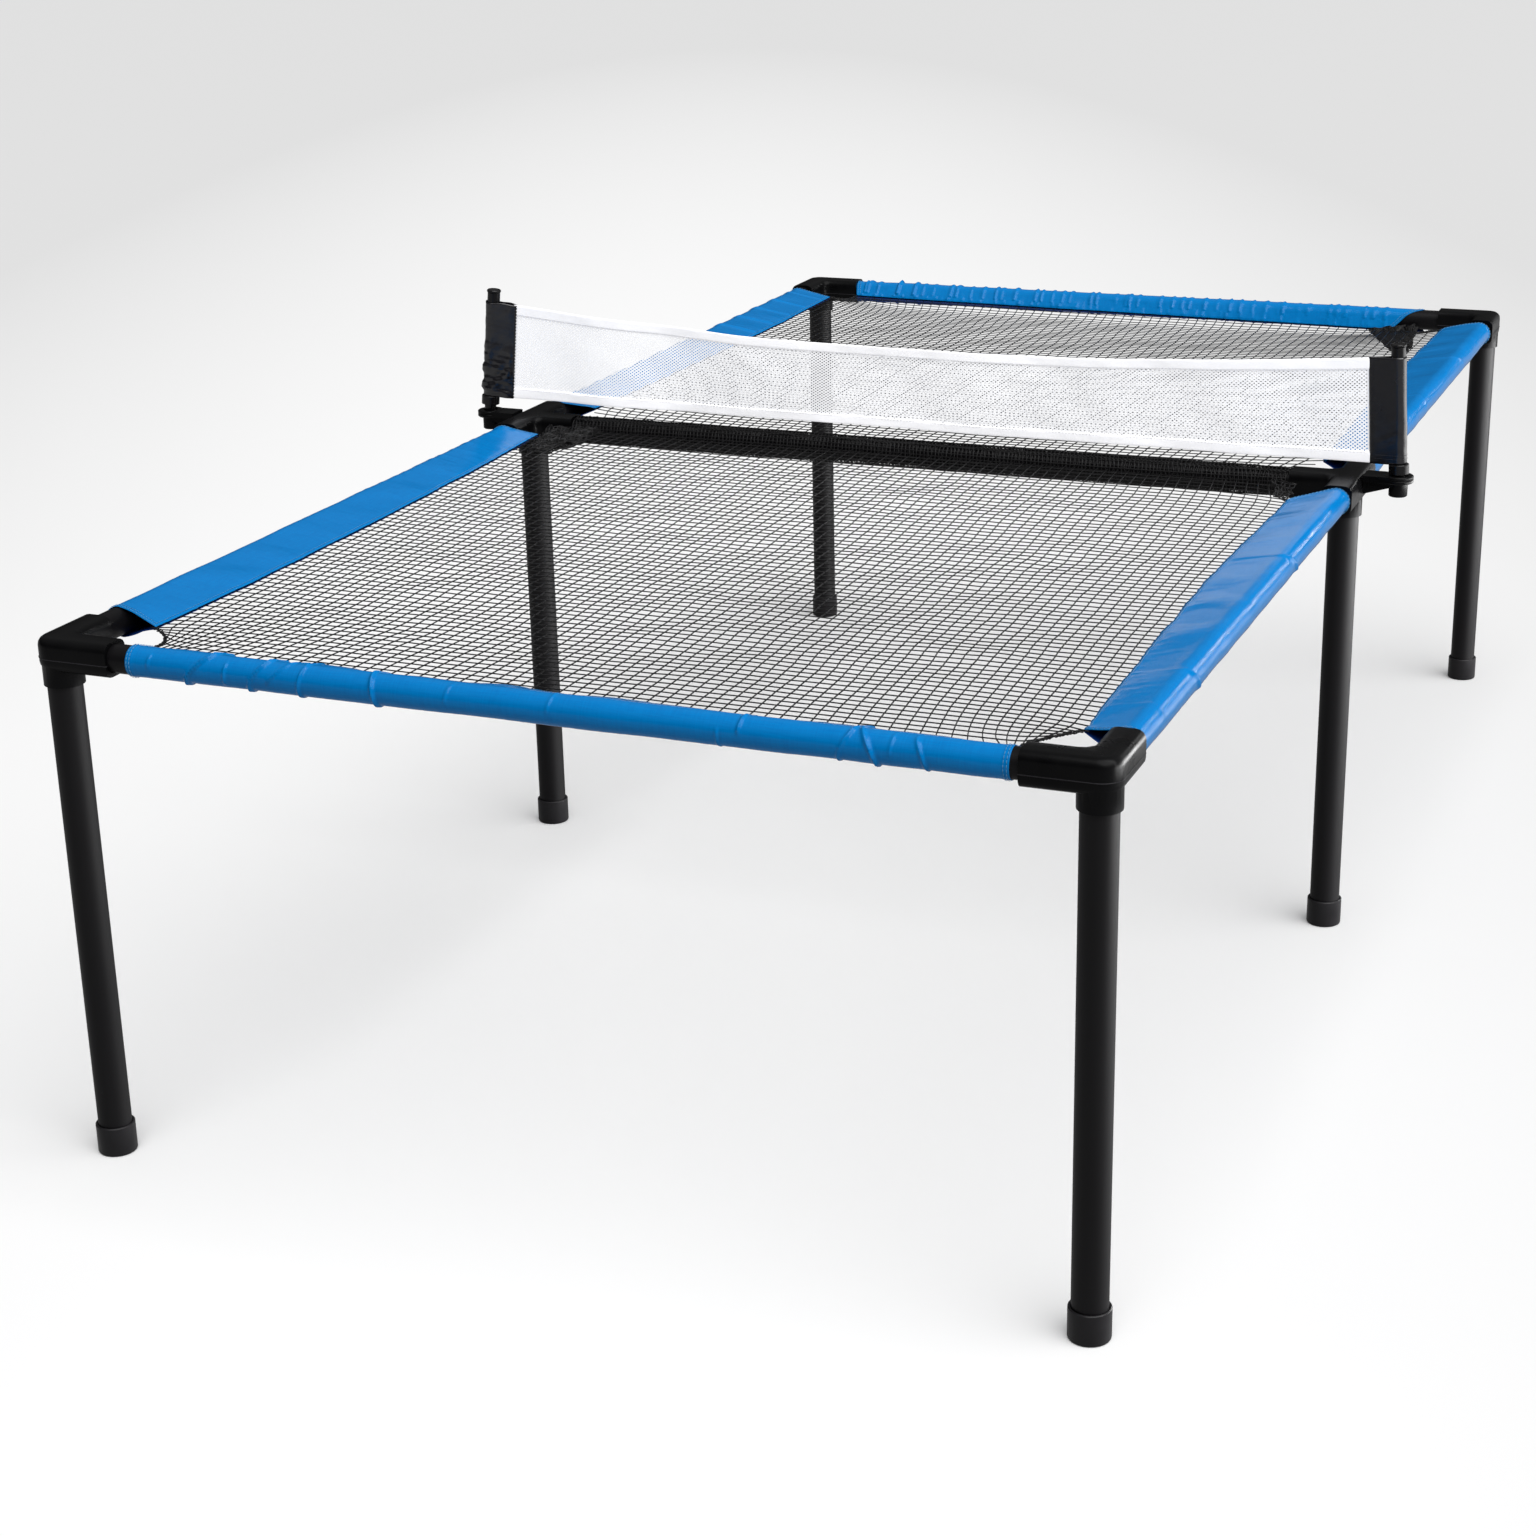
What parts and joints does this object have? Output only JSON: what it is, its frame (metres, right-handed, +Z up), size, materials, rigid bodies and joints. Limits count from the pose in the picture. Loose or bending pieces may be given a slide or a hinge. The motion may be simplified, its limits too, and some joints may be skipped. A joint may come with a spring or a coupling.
{
  "type": "ping pong table",
  "caption": "Low knock-down ping pong table with a black push-fit tube frame, legs with foot caps, stretched black netting in blue fabric sleeves and a white clip-on net.",
  "frame": {"origin": "centre of the footprint, on the floor", "axes": "+X to the right across the table, along the net; +Y along the table's length; +Z up"},
  "size_m": [0.8746, 1.499, 0.5233],
  "materials": {
    "connector_plastic": "black injection-moulded plastic with a soft semi-gloss",
    "tube_plastic": "black extruded plastic tube, satin",
    "foot_plastic": "black moulded cap, satin",
    "post_plastic": "black moulded plastic, semi-gloss",
    "sleeve_fabric": "blue woven polyester with a low sheen",
    "netting": "black knotless square netting",
    "netting_wrap": "black netting doubled over the cross rail",
    "net_mesh": "white polyester with fine holes",
    "net_tape": "white woven edge tape",
    "net_sleeve": "black satin polyester"
  },
  "bodies": {
    "frame": {"corner_connector_near_left": "connector_plastic", "corner_connector_near_right": "connector_plastic", "corner_connector_far_right": "connector_plastic", "corner_connector_far_left": "connector_plastic", "side_connector_left": "connector_plastic", "side_connector_right": "connector_plastic", "net_bracket_left": "connector_plastic", "net_bracket_right": "connector_plastic", "side_rail_near_left": "tube_plastic", "side_rail_near_right": "tube_plastic", "side_rail_far_left": "tube_plastic", "side_rail_far_right": "tube_plastic", "end_rail_near": "tube_plastic", "end_rail_far": "tube_plastic", "cross_rail": "tube_plastic", "side_sleeve_near_left": "sleeve_fabric", "side_sleeve_near_right": "sleeve_fabric", "side_sleeve_far_left": "sleeve_fabric", "side_sleeve_far_right": "sleeve_fabric", "end_sleeve_near": "sleeve_fabric", "end_sleeve_far": "sleeve_fabric", "netting_near": "netting", "netting_far": "netting", "centre_wrap": "netting_wrap"},
    "leg_near_left": {"leg_near_left": "tube_plastic", "foot_near_left": "foot_plastic"},
    "leg_near_right": {"leg_near_right": "tube_plastic", "foot_near_right": "foot_plastic"},
    "leg_far_right": {"leg_far_right": "tube_plastic", "foot_far_right": "foot_plastic"},
    "leg_far_left": {"leg_far_left": "tube_plastic", "foot_far_left": "foot_plastic"},
    "leg_middle_left": {"leg_middle_left": "tube_plastic", "foot_middle_left": "foot_plastic"},
    "leg_middle_right": {"leg_middle_right": "tube_plastic", "foot_middle_right": "foot_plastic"},
    "net": {"net_mesh": "net_mesh", "net_top_tape": "net_tape", "net_bottom_tape": "net_tape", "net_sleeve_left": "net_sleeve", "net_sleeve_right": "net_sleeve"},
    "post_left": {"net_post_left": "post_plastic", "post_cap_left": "post_plastic"},
    "post_right": {"net_post_right": "post_plastic", "post_cap_right": "post_plastic"}
  },
  "joints": [
    {"name": "leg_near_left_pull", "type": "slide", "parent": "frame", "child": "leg_near_left", "axis": [0, 0, -1], "range_m": [0, 0.03]},
    {"name": "leg_near_right_pull", "type": "slide", "parent": "frame", "child": "leg_near_right", "axis": [0, 0, -1], "range_m": [0, 0.03]},
    {"name": "leg_far_right_pull", "type": "slide", "parent": "frame", "child": "leg_far_right", "axis": [0, 0, -1], "range_m": [0, 0.03]},
    {"name": "leg_far_left_pull", "type": "slide", "parent": "frame", "child": "leg_far_left", "axis": [0, 0, -1], "range_m": [0, 0.03]},
    {"name": "leg_middle_left_pull", "type": "slide", "parent": "frame", "child": "leg_middle_left", "axis": [0, 0, -1], "range_m": [0, 0.03]},
    {"name": "leg_middle_right_pull", "type": "slide", "parent": "frame", "child": "leg_middle_right", "axis": [0, 0, -1], "range_m": [0, 0.03]},
    {"name": "net_lift", "type": "slide", "parent": "frame", "child": "net", "axis": [0, 0, 1], "range_m": [0, 0.05]},
    {"name": "post_left_turn", "type": "hinge", "parent": "net", "child": "post_left", "pos_m": [-0.425, 0, 0.4134], "axis": [0.0958, 0, 0.9954], "continuous": true},
    {"name": "post_right_turn", "type": "hinge", "parent": "net", "child": "post_right", "pos_m": [0.425, 0, 0.4089], "axis": [-0.0576, 0, 0.9983], "continuous": true}
  ]
}
